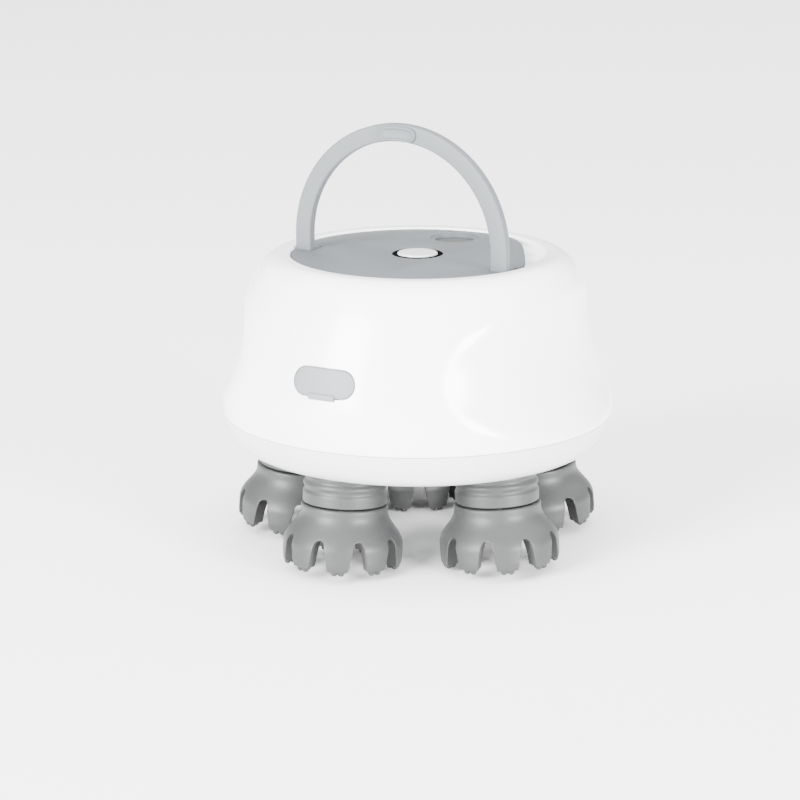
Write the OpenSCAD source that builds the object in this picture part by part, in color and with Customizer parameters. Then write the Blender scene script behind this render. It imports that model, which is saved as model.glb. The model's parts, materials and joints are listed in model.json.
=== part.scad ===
// Handheld electric scalp massager: a drum-shaped body with a folding carry
// handle and five turning silicone claws, driven by one motor through a gear
// train. Millimetres, +Z up, the floor at z = 0 and the body axis on Z.
// The front, with the charging port, faces -Y.

/* [Body] */
// Diameter of the body at its widest ring
body_d = 120; // [114:1:126]
// Height of the widest ring above the seam of the shells
belly_h = 1.8; // [1:0.2:4]
// Radius of the long arc of the body side
side_arc = 84.4; // [78:0.4:92]
// Height of the body rim above the seam
rim_h = 48.4; // [46:0.2:52]
// Radius of the circle along the top of the rim
rim_r = 41.6; // [41:0.2:43]
// Depth of the lower shell below the seam
keel_h = 10.9; // [9.5:0.1:12.5]
// Radial width of the rounded lower edge
keel_round = 9; // [7:0.5:10]
// Wall thickness of the shells
wall = 2.4; // [1.8:0.1:2.8]
// Height of the shadow gap between the shells
seam_gap = 0.2; // [0.15:0.05:0.6]

/* [Grips] */
// Distance from the body axis to the throat of a side grip
grip_throat = 50; // [48.5:0.5:52]
// Height of the grip throat above the seam
grip_h = 31; // [27:0.5:33]
// Radius of the hollow arc of a grip, seen from the side
grip_arc = 48; // [42:1:60]
// How far the turning axis of a grip lies beyond the body axis
grip_shift = 19.5; // [12:0.5:26]

/* [Top cover] */
// Diameter of the top cover
cover_d = 77; // [75:0.5:79]
// Thickness of the top cover at its edge
cover_t = 4.5; // [4:0.1:5.5]
// Thickness of the top cover over the hollow middle
cover_skin = 2.2; // [1.6:0.1:3]
// How far the top cover lies below the rim
cover_sink = 0.5; // [0.2:0.1:1]
// Gap between the top cover and the rim
cover_gap = 0.3; // [0.2:0.05:0.5]
// Distance from the axis to the trimmed edge of the top cover
trim_dist = 32.7; // [31:0.1:36]
// Direction of the trimmed edge, from +X towards +Y
trim_turn = 28; // [20:1:40]
// Diameter of the finger dish in the top cover
dish_d = 15.2; // [12:0.1:16]
// Depth of the finger dish
dish_depth = 1.3; // [0.6:0.1:1.6]
// Distance of the finger dish behind the axis
dish_y = 27.4; // [25:0.2:29]
// Distance of the finger dish from the middle, towards +X
dish_x = -0.8; // [-2:0.1:2]

/* [Button] */
// Diameter of the power button
button_d = 12.2; // [10:0.1:13]
// Diameter of the black ring round the button
ring_d = 15.6; // [14.8:0.1:17]
// Height of the button above the top cover
button_proud = 0.5; // [0.3:0.1:1]
// Travel of the button
button_travel = 0.7; // [0.4:0.1:1]

/* [Handle] */
// Outer radius of the handle arch
arch_r = 36.5; // [35.5:0.1:36.8]
// Width of the handle band, across the arch
band_w = 5.3; // [4.5:0.1:6.5]
// Thickness of the handle band
band_t = 3.2; // [2.6:0.1:3.6]
// Distance of the handle band in front of the axis
band_y = 10.2; // [9:0.1:11]
// Height of the arch centre above the hinge
arch_rise = 6.1; // [5:0.1:9]
// Depth of the hinge below the top cover surface
hinge_depth = 1.3; // [1.3:0.1:1.8]
// Diameter of the hinge pins
hinge_pin_d = 2; // [1.6:0.1:2.2]
// Length of the finger tab on the handle, along the arch
tab_len = 12.4; // [9:0.2:16]
// Height of the finger tab above the band
tab_proud = 1; // [0.5:0.1:1.4]

/* [Port] */
// Width of the port cover
port_w = 20; // [19:0.2:24]
// Height of the port cover
port_h = 8.4; // [8:0.2:10]
// Thickness of the port cover
port_t = 1.2; // [1:0.1:1.3]
// Height of the port above the seam
port_z = 20.2; // [17:0.2:24]
// Direction of the port, from the front towards +X
port_turn = 1.3; // [-3:0.1:3]
// Length of the pull lip below the port cover
pull_len = 8.4; // [5:0.2:11]

/* [Heads] */
// Number of massage heads
heads = 5; // [5:1:5]
// Direction of the first head, from the front towards +X
head_turn = -4.7; // [-12:0.1:12]
// Outward lean of the head axes, in degrees
head_lean = 4.8; // [3:0.1:6]
// Depth of the joint between neck and claw below the seam
groove_drop = 21.3; // [19:0.1:24]
// Gap between neck and claw
groove_gap = 0.5; // [0.3:0.05:0.8]
// Radius of the neck boot
neck_r = 12.65; // [12:0.05:13.5]
// Fingers of one claw
fingers = 9; // [8:1:9]
// Largest radius of a claw
claw_r = 18; // [17:0.1:19.4]
// Length of a claw, from the neck to the finger ends
claw_len = 17.7; // [15:0.1:20]
// Width of a finger end
finger_w = 5.2; // [4.8:0.1:6]
// Thickness of a finger at its end
finger_t = 4.6; // [4:0.1:5]
// Diameter of a finger nub
nub_d = 2.05; // [1.6:0.05:2.2]
// Height of a finger nub
nub_h = 1.4; // [1.1:0.05:1.8]
// Distance from the neck to the top of the slots between fingers
slot_top = 8.8; // [7.4:0.1:10]
// Turn of each claw on its own axis at rest
claw_turns = [-9, 8.5, -16, 4, 11.4];

/* [Drive] */
// Gear module of the head gears
head_module = 1.25; // [1.25:0.05:1.25]
// Teeth of the centre gear that turns the head gears
sun_teeth = 36; // [36:1:36]
// Teeth of a head gear
head_teeth = 24; // [24:1:24]
// Gear module of the motor stage
motor_module = 0.8; // [0.8:0.05:0.8]
// Teeth of the centre gear on the motor stage
wheel_teeth = 48; // [44:2:50]
// Teeth of the motor pinion
pinion_teeth = 12; // [12:1:14]
// Face width of the head gears
gear_t = 4; // [3:0.2:4.4]
// Diameter of a head shaft
shaft_d = 5; // [4:0.1:5.6]
// Diameter of the motor
motor_d = 24.4; // [22:0.1:25]
// Length of the motor
motor_len = 25; // [22:0.5:27]
// Diameter of the battery cell
cell_d = 18.4; // [16:0.1:18.6]
// Length of the battery cell
cell_len = 65; // [60:0.5:67]

/* [Hidden] */
$fn = 96;
tiny = 0.01;
play = 0.3;                                 // free gap between moving pieces
fit = 0.05;                                 // radial running fit
body_r = body_d / 2;
cover_r = cover_d / 2;
head_step = 360 / heads;

// Claw, in its own frame: z = 0 at the neck joint, the claw hangs down.
claw_neck_r = neck_r + 0.45;
nub_ring_r = claw_r - 1.5;                  // two outer nubs of a finger
nub_inner_r = nub_ring_r - 0.84 * nub_d;    // one inner nub
nub_r = nub_d / 2;
nub_side = nub_r + 0.02;
finger_step = 360 / fingers;
function nub_spots(k) = [for (f = [0:fingers - 1]) for (n = [[nub_ring_r, -nub_side],
    [nub_ring_r, nub_side], [nub_inner_r, 0]]) let (a = f * finger_step + claw_turns[k])
    [n[0] * cos(a) - n[1] * sin(a), n[0] * sin(a) + n[1] * cos(a)]];
claw_reach = claw_len + nub_h;
// A nub on the inner side of a leaning head reaches lowest. It touches the floor.
nub_low = max([for (k = [0:heads - 1]) for (p = nub_spots(k)) -p[0] * sin(head_lean)]);
groove_z = (claw_reach - nub_r) * cos(head_lean) + nub_low + nub_r;
seam_z = groove_z + groove_drop;

// Heights above the floor.
belly_z = seam_z + belly_h;
rim_z = seam_z + rim_h;
keel_z = seam_z - keel_h;
keel_r = body_r - keel_round;
cover_z = rim_z - cover_sink;
seat_z = cover_z - cover_t;
grip_z = seam_z + grip_h;
floor_t = 2;                                // floor of the lower shell
deck_low = keel_z + floor_t;                // top of that floor

// Body side: a long arc from the widest ring, then a tangent shoulder arc to the rim.
side_c = body_r - side_arc;
rise = rim_z - belly_z;
reach = rim_r - side_c;
shoulder_r = (side_arc * side_arc - reach * reach - rise * rise) / (2 * (side_arc - rise));
shoulder_a = atan2(rise - shoulder_r, reach);
function arc_points(cx, cz, r, a0, a1, n) =
    [for (i = [0:n]) let (a = a0 + (a1 - a0) * i / n) [cx + r * cos(a), cz + r * sin(a)]];
function side_r(z, inset = 0) =
    side_c + sqrt(pow(side_arc - inset, 2) - pow(z - belly_z, 2));
function side_slope(z) = asin((z - belly_z) / side_arc);

// Drive. The sun gear sets how far out the head gears sit.
sun_r = sun_teeth * head_module / 2;
head_gear_r = head_teeth * head_module / 2;
gear_mid_drop = 3;                          // centre of the head gears below the seam
gear_mid_z = seam_z - gear_mid_drop;
gear_h = (gear_mid_z - groove_z) / cos(head_lean);      // along a head axis, from its neck joint
ring_r = sun_r + head_gear_r * cos(head_lean) + gear_h * sin(head_lean);
wheel_r = wheel_teeth * motor_module / 2;
pinion_r = pinion_teeth * motor_module / 2;
motor_y = -(wheel_r + pinion_r);
plate_z = seam_z + 5.2;                     // underside of the gear plate
plate_t = 2.6;
plate_top = plate_z + plate_t;
plate_r = 43;
shaft_r = shaft_d / 2;
bush_r = shaft_r + 1.5;
boss_r = bush_r + 1.6;
axle_r = 2;
hub_out = 4.4;                              // hub of the centre gear
axle_seat = 0.4;                            // how far the axle sinks into the lower shell
post_ring = 36;                             // posts of the gear plate
post_r = 3.2;
screw_ring = 44;                            // screws of the shells
screw_boss_r = 3.6;
screw_r = 1.25;
plate_screw_len = 11.6;                     // depth of the holes for the plate screws

// Handle. Its feet reach back to the hinge, so it folds flat onto the cover.
hinge_z = cover_z - hinge_depth;
foot = hinge_depth + band_t / 2 + play;
hinge_y = -band_y + foot;
arch_in = arch_r - band_w;
eye_r = hinge_pin_d / 2 + 0.9;
pin_r = hinge_pin_d / 2;
collar_r = cover_r + cover_gap;             // inner face of the rim
collar_out = collar_r + 2.4;

// Button stack under the cover.
button_r = button_d / 2;
ring_r_out = ring_d / 2;
ring_gap = 0.25;
flange_t = 0.9;
under_z = cover_z - cover_skin;             // underside of the cover's middle
dish_step = 1.3;                            // width of the shallow ring in the dish
hollow_r = 27;
board_t = 1.6;
board_z = seam_z + 36;
switch_h = 4.3;
board_w = 50;
board_d = 34;
board_y = 2;

// Port frame: on the surface of the front, square to it.
port_abs_z = seam_z + port_z;
port_r = side_r(port_abs_z);
port_lean = side_slope(port_abs_z);
port_gap = 0.3;
port_proud = 0.15;
nose_w = 9.6;
nose_h = 4;
nose_len = 1.7;
pull_drop = 0.8;                            // how far the pull lip hangs below the cover

// ---- Shared forms ---------------------------------------------------------

// Half outline of the body above the seam, drawn in by inset.
module side_profile(inset) {
    ease = 0.02;                            // lets the shoulder arc cross its neighbours
    low = seam_z - 1;
    intersection() {
        translate([side_c, belly_z]) circle(r = side_arc - inset, $fn = 720);
        union() {
            translate([0, low]) square([rim_r, rim_z - inset - ease / 4 - low]);
            translate([0, low]) square([body_r + 5, shoulder_z(inset) - low]);
            translate([rim_r, rim_z - shoulder_r - ease])
                circle(r = shoulder_r + ease - inset, $fn = 240);
        }
    }
}
function shoulder_z(inset) = belly_z + (side_arc - inset) * sin(shoulder_a);

// Band under the surface of the front, between two depths, for the port.
module side_band(out, inset) {
    rotate_extrude() intersection() {
        difference() {
            translate([side_c, belly_z]) circle(r = side_arc - out, $fn = 720);
            translate([side_c, belly_z]) circle(r = side_arc - inset, $fn = 720);
        }
        translate([20, port_abs_z - 8]) square([60, 16]);
    }
}

// Region inside a grip surface, which turns round an axis beyond the body axis.
module grip_form(inset) {
    throat = grip_throat + grip_shift - inset;
    rotate_extrude() difference() {
        translate([0, seam_z - 2]) square([throat + 22, rim_z - seam_z + 4]);
        translate([throat + grip_arc + inset, grip_z]) circle(r = grip_arc + inset, $fn = 480);
    }
}

// The body above the seam, with its two side grips.
module body_form(inset) {
    intersection() {
        rotate_extrude() side_profile(inset);
        translate([-grip_shift, 0, 0]) grip_form(inset);
        translate([grip_shift, 0, 0]) grip_form(inset);
    }
}

module slot_2d(w, h) {
    hull_w = w - h;
    square([hull_w, h], center = true);
    for (s = [-1, 1]) translate([s * hull_w / 2, 0]) circle(d = h, $fn = 48);
}

// Places children on the front of the body: x across, y inward, z up the surface.
module port_place() {
    rotate([0, 0, port_turn]) translate([0, -port_r, port_abs_z]) rotate([-port_lean, 0, 0])
        children();
}

// A bar with a slot outline, from depth y0 to y1 in the port frame.
module port_bar(w, h, y0, y1) {
    translate([0, y1, 0]) rotate([90, 0, 0]) linear_extrude(y1 - y0) slot_2d(w, h);
}

// Azimuth a is measured from the front towards +X.
module at_azimuth(a, r) {
    rotate([0, 0, a - 90]) translate([r, 0, 0]) children();
}

// Frame of head k: z up its leaning axis, x outward, origin at the neck joint.
module head_place(k) {
    at_azimuth(head_turn + k * head_step, ring_r) translate([0, 0, groove_z])
        rotate([0, -head_lean, 0]) children();
}

module between_heads(r) {
    for (k = [0:heads - 1]) at_azimuth(head_turn + (k + 0.5) * head_step, r) children();
}

module screw(head_r, head_h, len) {
    cylinder(r = head_r, h = head_h);
    translate([0, 0, -len]) cylinder(r = screw_r, h = len + tiny);
}

// Spur gear outline with straight flanks and thinned teeth.
function tooth_points(z, m, thin, i) =
    let (r = z * m / 2, add = 0.86 * m, ded = 1.32 * m, half = (PI * m / 2 - thin) / 2,
         w = [half + ded * tan(20) * 0.8, half, half - add * tan(20)], q = [r - ded, r, r + add])
    concat([for (j = [0:2]) let (a = i * 360 / z - w[j] / r * 180 / PI) q[j] * [cos(a), sin(a)]],
           [for (j = [2:-1:0]) let (a = i * 360 / z + w[j] / r * 180 / PI) q[j] * [cos(a), sin(a)]]);
module gear_2d(z, m, thin) {
    polygon([for (i = [0:z - 1]) each tooth_points(z, m, thin, i)]);
}
// Turn of a follower gear so that its gaps meet the leader's teeth along direction a.
function mesh_turn(a, lead_teeth, teeth) =
    let (u = a * lead_teeth / 360) a + 180 - (0.5 - u) * 360 / teeth;

// ---- Shells ---------------------------------------------------------------

seat_w = 3.2;                               // width of the seat under the top cover
seat_t = 2;
pillar_h = 7;
rib_z = seam_z + 2.9;
rib_h = 2.1;
rib_w = 2;
rib_end = 57.8;                             // inside the wall at every pillar
ledge_drop = 1.1;                           // ledge beside the trimmed edge, below the cover

module upper_shell() {
    color("white") difference() {
        union() {
            difference() {
                body_form(0);
                body_form(wall);
                translate([0, 0, seam_z - 5]) cylinder(r = body_r + 5, h = 5);
            }
            // Collar and seat of the top cover.
            translate([0, 0, seat_z - seat_t]) difference() {
                cylinder(r = collar_out, h = rim_z - 1 - seat_z + seat_t);
                translate([0, 0, -1]) cylinder(r = collar_r - seat_w, h = cover_t + 5);
            }
            // Screw pillars, each tied to the wall by a rib.
            between_heads(screw_ring) {
                translate([0, 0, seam_z + tiny]) cylinder(r = screw_boss_r, h = pillar_h);
                translate([0, -rib_w / 2, rib_z]) cube([rib_end - screw_ring, rib_w, rib_h]);
            }
            // Floor beside the trimmed edge of the cover.
            intersection() {
                translate([0, 0, seat_z - seat_t]) cylinder(r = collar_r + 1, h = cover_t + seat_t - 1);
                rotate([0, 0, trim_turn]) translate([trim_dist + cover_gap, -40, seat_z - seat_t])
                    cube([20, 80, cover_t + seat_t - ledge_drop]);
            }
            port_pocket_wall();
        }
        translate([0, 0, seat_z]) cylinder(r = collar_r, h = cover_t + 5);
        between_heads(screw_ring) translate([0, 0, seam_z - 1]) cylinder(r = screw_r, h = pillar_h + 2);
        port_cut();
        hinge_pin_cut();
        rim_scoop();
    }
}

// Thicker wall behind the port, which backs the charging socket.
module port_pocket_wall() {
    port_place() port_bar(port_w + 6, port_h + 4, wall - play, wall + 1.8);
}

module port_cut() {
    out = -4;
    inner = 6;
    intersection() {
        side_band(-3, port_t + play);
        port_place() port_bar(port_w + 2 * port_gap, port_h + 2 * port_gap, out, inner);
    }
    port_place() port_bar(nose_w + 2.6, nose_h + 2.6, out, inner);
    // Room for the pull lip.
    port_place() translate([-pull_len / 2 - port_gap, out, -port_h / 2 - pull_drop - port_gap])
        cube([pull_len + 2 * port_gap, 1.1 - out, 2 * pull_drop]);
}

// Finger scoop in the rim, beyond the trimmed edge of the cover.
module rim_scoop() {
    scoop_r = 6;
    scoop_len = 7;
    scoop_lift = 2.6;                       // its axis above the rim
    rotate([0, 0, trim_turn]) translate([trim_dist - 4, 0, rim_z + scoop_lift]) {
        rotate([0, 90, 0]) cylinder(r = scoop_r, h = scoop_len);
        translate([scoop_len - tiny, 0, 0]) sphere(r = scoop_r + tiny);
    }
}

module hinge_pin_cut() {
    for (s = [-1, 1]) translate([s * arch_in, hinge_y, hinge_z]) rotate([0, s * 90, 0])
        cylinder(r = pin_r, h = pin_len - (arch_in - pin_inner));
}
pin_bite_in = 1.4;                          // bite of a pin in the top cover
pin_bite_out = 1.7;                         // bite of a pin in the rim
pin_inner = arch_in - play - pin_bite_in;
pin_outer = sqrt(collar_r * collar_r - hinge_y * hinge_y) + pin_bite_out;
pin_len = pin_outer - pin_inner;

// Rounded outline below the widest ring, drawn in by inset.
module keel_profile(inset) {
    depth = keel_h + belly_h;
    a0 = asin(belly_h / depth);
    n = 14;
    polygon(concat([[0, seam_z]],
        [for (i = [0:n]) let (a = a0 + (90 - a0) * i / n)
            [keel_r + (keel_round - inset) * cos(a), belly_z - (depth - inset) * sin(a)]],
        [[0, keel_z + inset]]));
}

lip_root = 4;                               // how far the lip reaches below the seam
lip_h = 5.7;
lip_t = 1.9;
screw_well = 3.6;                           // depth of the screw wells in the underside

module lower_shell() {
    lip_out = side_r(seam_z, wall) - 0.15;
    color("white") difference() {
        union() {
            difference() {
                rotate_extrude() keel_profile(0);
                rotate_extrude() keel_profile_inner();
                translate([0, 0, seam_z - seam_gap]) cylinder(r = body_r + 5, h = 5);
            }
            // Lip that enters the upper shell and holds the seal.
            translate([0, 0, seam_z - lip_root]) difference() {
                cylinder(r = lip_out, h = lip_h);
                translate([0, 0, -1]) cylinder(r = lip_out - lip_t, h = lip_h + 2);
            }
            between_heads(screw_ring) translate([0, 0, keel_z + 1])
                cylinder(r = screw_boss_r, h = keel_h - 1 - tiny);
            between_heads(post_ring) translate([0, 0, deck_low - tiny])
                cylinder(r = post_r, h = plate_z - deck_low);
            // Bosses of the head shafts and the centre axle.
            intersection() {
                for (k = [0:heads - 1]) head_place(k) cylinder(r = boss_r, h = bush_top);
                translate([0, 0, keel_z + 0.5]) cylinder(r = body_r, h = keel_h + 10);
            }
            translate([0, 0, deck_low - tiny]) cylinder(r = hub_out, h = sun_low - 0.5 - deck_low);
        }
        for (k = [0:heads - 1]) head_place(k) cylinder(r = bush_r, h = 40);
        translate([0, 0, deck_low - axle_seat]) cylinder(r = axle_r, h = 20);
        between_heads(screw_ring) translate([0, 0, keel_z - 2]) {
            cylinder(r = 3, h = screw_well + 2);
            cylinder(r = screw_r, h = 30);
        }
        between_heads(post_ring) translate([0, 0, plate_top - plate_screw_len])
            cylinder(r = screw_r, h = 12);
        translate([0, 0, seal_z]) rotate_extrude() translate([seal_ring, 0])
            circle(r = seal_r, $fn = 32);
    }
}
bush_top = gear_h - gear_t / 2 - 0.7;
sun_low = gear_mid_z - 4.3;
seal_r = 0.6;
seal_ring = side_r(seam_z, wall) - seal_r - 0.03;
seal_z = seam_z + 0.8;

// Hollow of the lower shell, open at the seam.
module keel_profile_inner() {
    a0 = asin(belly_h / (keel_h + belly_h));
    round_in = keel_round - wall;
    n = 8;
    polygon(concat([[0, seam_z + 1], [keel_r + round_in * cos(a0), seam_z + 1]],
        [for (i = [0:n]) let (a = a0 + (90 - a0) * i / n)
            [keel_r + round_in * cos(a), belly_z - (belly_z - deck_low) * sin(a)]],
        [[0, deck_low]]));
}

module shell_seal() {
    color("dimgray") translate([0, 0, seal_z]) rotate_extrude() translate([seal_ring, 0])
        circle(r = seal_r - 0.02, $fn = 32);
}

// ---- Top cover, button and handle ------------------------------------------

module cover_outline() {
    intersection() {
        circle(r = cover_r);
        rotate(trim_turn) translate([trim_dist - 100, -50]) square([100, 100]);
    }
}

module top_cover() {
    color("lightslategray") difference() {
        union() {
            difference() {
                translate([0, 0, seat_z]) linear_extrude(cover_t) cover_outline();
                translate([0, 0, seat_z - 1]) cylinder(r = hollow_r, h = cover_t - cover_skin + 1);
            }
            // Well of the dish and bosses of the main board.
            translate([dish_x, dish_y, seat_z]) cylinder(r = dish_d / 2, h = cover_t - 1);
            board_spots() translate([0, 0, board_z + board_t])
                cylinder(r = 2.6, h = under_z - board_z - board_t + tiny);
        }
        translate([dish_x, dish_y, cover_z - dish_depth]) cylinder(r = dish_d / 2 - dish_step, h = 5);
        translate([dish_x, dish_y, cover_z - 0.45]) cylinder(r = dish_d / 2, h = 5);
        translate([0, 0, seat_z - 3]) cylinder(r = ring_r_out, h = 12);
        board_spots() translate([0, 0, board_z]) cylinder(r = 1, h = 7);
        for (s = [-1, 1]) hinge_slot(s);
        hinge_pin_cut_cover();
    }
}

// Slot for a foot of the handle.
module hinge_slot(s) {
    x0 = arch_in - play;
    slot_w = band_w + 6;                    // open at the edge of the cover
    x = s > 0 ? x0 : -x0 - slot_w;
    front = -band_y - band_t / 2 - play;
    translate([x, front, hinge_z]) cube([slot_w, foot + band_t / 2 + play, 10]);
    translate([x, front, hinge_z - foot_low - play]) cube([slot_w, foot + band_t / 2, 4]);
    translate([x, hinge_y, hinge_z]) cube([slot_w, eye_r + play, 10]);
    translate([s * x0, hinge_y, hinge_z]) rotate([0, s * 90, 0])
        cylinder(r = eye_r + play, h = slot_w);
}
foot_low = 1;                               // underside of a foot below the hinge

module hinge_pin_cut_cover() {
    for (s = [-1, 1]) translate([s * pin_inner, hinge_y, hinge_z]) rotate([0, s * 90, 0])
        cylinder(r = pin_r, h = 8);
}

module handle() {
    color("silver") difference() {
        union() {
            translate([0, -band_y + band_t / 2, 0]) rotate([90, 0, 0]) linear_extrude(band_t) arch_2d();
            tab();
            for (s = [-1, 1]) translate([s > 0 ? arch_in : -arch_r, 0, 0]) {
                translate([0, -band_y - band_t / 2, hinge_z - foot_low])
                    cube([band_w, foot + band_t / 2, hinge_depth + foot_low - 0.1]);
                translate([0, hinge_y, hinge_z]) rotate([0, 90, 0]) cylinder(r = eye_r, h = band_w);
            }
        }
        for (s = [-1, 1]) translate([s * (arch_in - 1), hinge_y, hinge_z]) rotate([0, s * 90, 0])
            cylinder(r = pin_r + fit, h = band_w + 2);
    }
}

// The arch, drawn in x and z: a half ring on two straight legs.
module arch_2d() {
    centre_z = hinge_z + arch_rise;
    translate([0, centre_z]) difference() {
        circle(r = arch_r, $fn = 144);
        circle(r = arch_in, $fn = 144);
        translate([-50, -100]) square([100, 100]);
    }
    for (x = [-arch_r, arch_in]) translate([x, hinge_z]) square([band_w, arch_rise]);
}

// Outline of a strip with round ends, bent along the arch.
function strip_points(r, w, len) =
    let (half = (len - w) / 2 / r * 180 / PI, n = 10)
    concat([for (i = [0:n]) let (a = 90 - half + 2 * half * i / n) (r + w / 2) * [cos(a), sin(a)]],
        [for (i = [1:6]) let (a = 90 + half, b = a + 180 * i / 7)
            [r * cos(a) + w / 2 * cos(b), r * sin(a) + w / 2 * sin(b)]],
        [for (i = [0:n]) let (a = 90 + half - 2 * half * i / n) (r - w / 2) * [cos(a), sin(a)]],
        [for (i = [1:6]) let (a = 90 - half, b = a + 180 + 180 * i / 7)
            [r * cos(a) + w / 2 * cos(b), r * sin(a) + w / 2 * sin(b)]]);

// Finger tab on the front face of the arch, with a sunk middle.
module tab() {
    tab_w = band_w - 0.9;
    mid_r = arch_r - band_w / 2 - 0.15;
    translate([0, -band_y - band_t / 2 + tiny, hinge_z + arch_rise]) rotate([90, 0, 0]) difference() {
        linear_extrude(tab_proud) polygon(strip_points(mid_r, tab_w, tab_len));
        translate([0, 0, tab_proud - 0.4]) linear_extrude(1)
            polygon(strip_points(mid_r, tab_w - 1.6, tab_len - 1.6));
    }
}

module handle_pins() {
    color("gainsboro") for (s = [-1, 1]) translate([s * pin_inner, hinge_y, hinge_z])
        rotate([0, s * 90, 0]) cylinder(r = pin_r, h = pin_len - tiny);
}

module button_ring() {
    color("black") translate([0, 0, under_z]) difference() {
        cylinder(r = ring_r_out, h = cover_skin);
        translate([0, 0, -1]) cylinder(r = button_r + ring_gap, h = cover_skin + 2);
    }
}

module power_button() {
    top = cover_z + button_proud;
    flange_z = under_z - play - flange_t;
    color("whitesmoke") {
        rotate_extrude() polygon(concat([[0, flange_z]], [[button_r, flange_z]],
            arc_points(button_r - 0.5, top - 0.5, 0.5, 0, 90, 5), [[0, top]]));
        translate([0, 0, flange_z]) cylinder(r = ring_r_out - 0.6, h = flange_t);
        translate([0, 0, stem_low]) cylinder(r = 1.6, h = flange_z - stem_low + tiny);
    }
}
switch_top = board_z + board_t + switch_h;
stem_low = switch_top + button_travel + play;

module button_switch() {
    color("dimgray") translate([0, 0, board_z + board_t]) {
        translate([-3, -3, 0]) cube([6, 6, switch_h - 0.9]);
        cylinder(r = 1.7, h = switch_h);
    }
}

module board_spots() {
    for (x = [-1, 1], y = [-1, 1])
        translate([x * (board_w / 2 - 4), board_y + y * (board_d / 2 - 4), 0]) children();
}

module main_board() {
    color("seagreen") translate([0, 0, board_z]) difference() {
        union() {
            translate([-board_w / 2, board_y - board_d / 2, 0]) cube([board_w, board_d, board_t]);
            translate([10, board_y - 6, board_t]) cube([7, 7, 1]);
            translate([-18, board_y - 4, board_t]) cube([9, 6, 1.4]);
            translate([12, board_y + 5, board_t]) cube([6, 4, 3]);
        }
        board_spots() translate([0, 0, -1]) cylinder(r = 1.2, h = 4);
    }
}

module board_screws() {
    color("gray") board_spots() translate([0, 0, board_z]) {
        translate([0, 0, -1.3]) cylinder(r = 2, h = 1.3);
        cylinder(r = 1, h = 6);
    }
}

// ---- Port -----------------------------------------------------------------

module port_cover() {
    color("lightgray") {
        intersection() {
            side_band(-port_proud, port_t);
            port_place() port_bar(port_w, port_h, -4, 6);
        }
        port_place() {
            port_bar(nose_w, nose_h, port_t - tiny, port_t + nose_len);
            translate([-pull_len / 2, -0.7, -port_h / 2 - pull_drop])
                cube([pull_len, 1.3, 2 * pull_drop]);
        }
    }
}

module charge_socket() {
    front = port_t + nose_len + play;
    color("silver") port_place() difference() {
        port_bar(9.2, 3.4, front, front + 7);
        port_bar(8.6, 2.8, front - 1, front + 6.2);
    }
    color("black") port_place() translate([-3.4, front + 1.2, -0.4]) cube([6.8, 5.2, 0.8]);
}

module charge_board() {
    front = port_t + nose_len + play;
    color("seagreen") port_place() translate([-9, 4.3, -3]) cube([18, front + 4.7, 1.2]);
}

// ---- Power ----------------------------------------------------------------

cell_y = 12;
cell_z = plate_top + 1.9 + cell_d / 2;

module battery() {
    color("steelblue") translate([-cell_len / 2, cell_y, cell_z]) rotate([0, 90, 0]) {
        cylinder(r = cell_d / 2, h = cell_len);
        translate([0, 0, cell_len - tiny]) cylinder(r = 3, h = 1.2);
    }
}

module battery_cradle() {
    color("gray") translate([0, cell_y, plate_top]) difference() {
        translate([-26, -cell_d / 2 - 2, 0]) cube([52, cell_d + 4, 9]);
        translate([-40, 0, cell_z - plate_top]) rotate([0, 90, 0]) cylinder(r = cell_d / 2, h = 80);
        translate([-14, -20, 3]) cube([28, 40, 10]);
    }
}

module motor() {
    color("silver") translate([0, motor_y, plate_top]) {
        cylinder(r = motor_d / 2, h = motor_len);
        translate([0, 0, motor_len - tiny]) cylinder(r = 3.5, h = 1.5);
        translate([0, 0, -plate_t]) cylinder(r = 3, h = plate_t + tiny);
        for (s = [-1, 1]) translate([s * 7 - 0.4, -1, motor_len - tiny]) cube([0.8, 2, 3]);
    }
}

wheel_low = seam_z - 0.9;
wheel_t = 4.2;

module motor_pinion() {
    shaft = 1;                              // radius of the motor shaft
    color("goldenrod") translate([0, motor_y, wheel_low + 0.2]) {
        rotate(mesh_turn(-90, wheel_teeth, pinion_teeth))
            linear_extrude(wheel_t - 0.4) gear_2d(pinion_teeth, motor_module, 0.2);
        cylinder(r = shaft, h = plate_z - wheel_low - 0.5);
    }
}

module centre_gear() {
    hub_top = plate_z - 0.5;
    color("ivory") difference() {
        union() {
            translate([0, 0, sun_low]) linear_extrude(wheel_low - sun_low + tiny)
                gear_2d(sun_teeth, head_module, 0.34);
            translate([0, 0, wheel_low]) linear_extrude(wheel_t) gear_2d(wheel_teeth, motor_module, 0.2);
            translate([0, 0, wheel_low]) cylinder(r = hub_out, h = hub_top - wheel_low);
        }
        translate([0, 0, sun_low - 1]) cylinder(r = axle_r + fit, h = 20);
        for (a = [0:60:300]) rotate(a) translate([11.5, 0, sun_low - 1]) cylinder(r = 3.4, h = 20);
    }
}

module centre_axle() {
    color("gainsboro") translate([0, 0, deck_low - axle_seat])
        cylinder(r = axle_r, h = plate_top - deck_low - 0.6);
}

module gear_plate() {
    color("gainsboro") difference() {
        union() {
            translate([0, 0, plate_z]) cylinder(r = plate_r, h = plate_t);
            translate([0, motor_y, plate_z]) cylinder(r = motor_d / 2 + 1.8, h = plate_t + 7);
        }
        translate([0, motor_y, plate_top]) cylinder(r = motor_d / 2, h = 20);
        translate([0, motor_y, plate_z - 1]) cylinder(r = 3, h = 20);
        translate([0, 0, plate_z - 1]) cylinder(r = axle_r, h = plate_t + 0.2);
        between_heads(post_ring) translate([0, 0, plate_z - 1]) cylinder(r = screw_r, h = 9);
        between_heads(screw_ring) translate([0, 0, plate_z - 1]) cylinder(r = screw_boss_r + 0.5, h = 9);
        for (k = [0:heads - 1]) head_place(k) cylinder(r = shaft_r + fit, h = 60);
    }
}

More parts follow.
